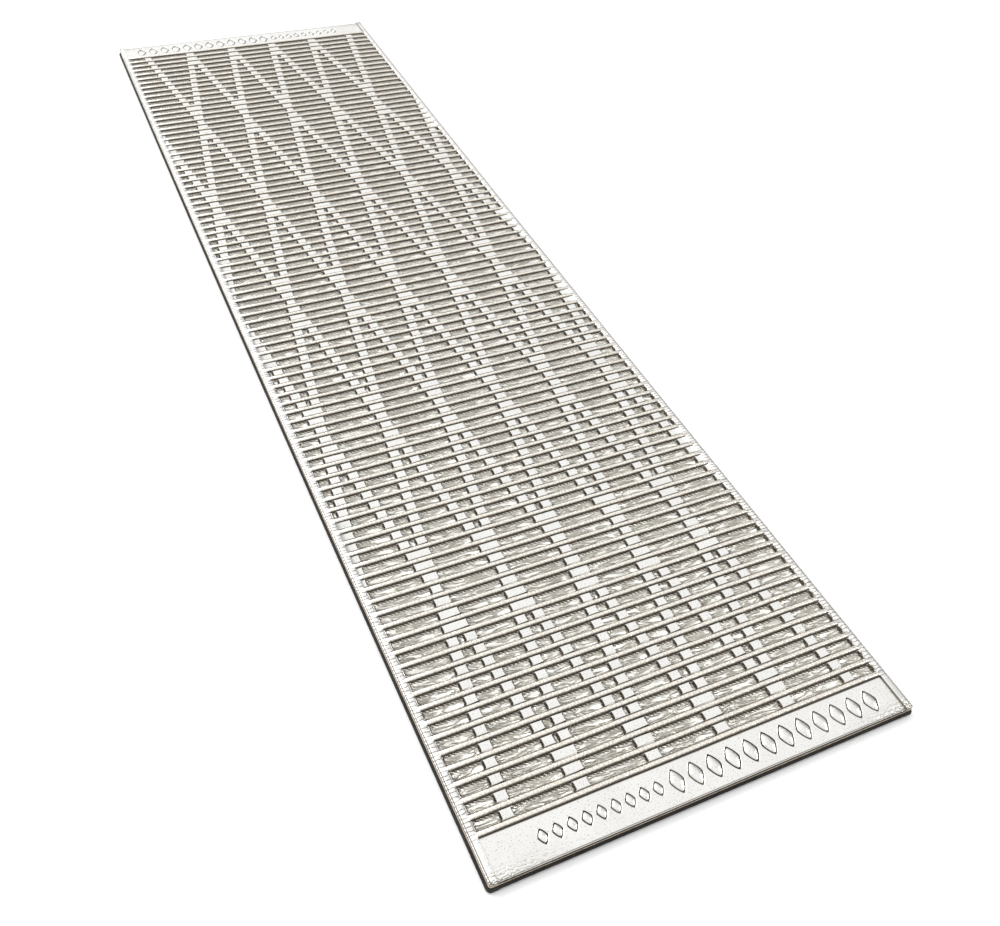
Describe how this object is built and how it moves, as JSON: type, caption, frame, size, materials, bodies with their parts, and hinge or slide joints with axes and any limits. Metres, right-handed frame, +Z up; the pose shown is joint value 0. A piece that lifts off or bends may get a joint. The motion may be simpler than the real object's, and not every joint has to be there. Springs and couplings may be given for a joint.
{
  "type": "foam sleeping pad",
  "caption": "Roll-up closed-cell foam sleeping pad laid flat, with raised cross ridges, a diamond pattern of bridges over the pockets, and a reflective film on top.",
  "frame": {"origin": "centre of the pad's outline, on the plane that its underside ribs rest on", "axes": "+X across the pad, +Y along the pad from the front end to the far end, +Z up from the ground"},
  "size_m": [0.508, 1.829, 0.015],
  "materials": {
    "metallised_film": "thin metallised plastic film, bright and slightly crinkled",
    "foam": "matt closed-cell polyethylene foam with a skinned surface"
  },
  "bodies": {
    "root": {"reflective_film": "metallised_film", "upper_foam_ply": "foam", "lower_foam_ply": "foam"}
  },
  "joints": []
}
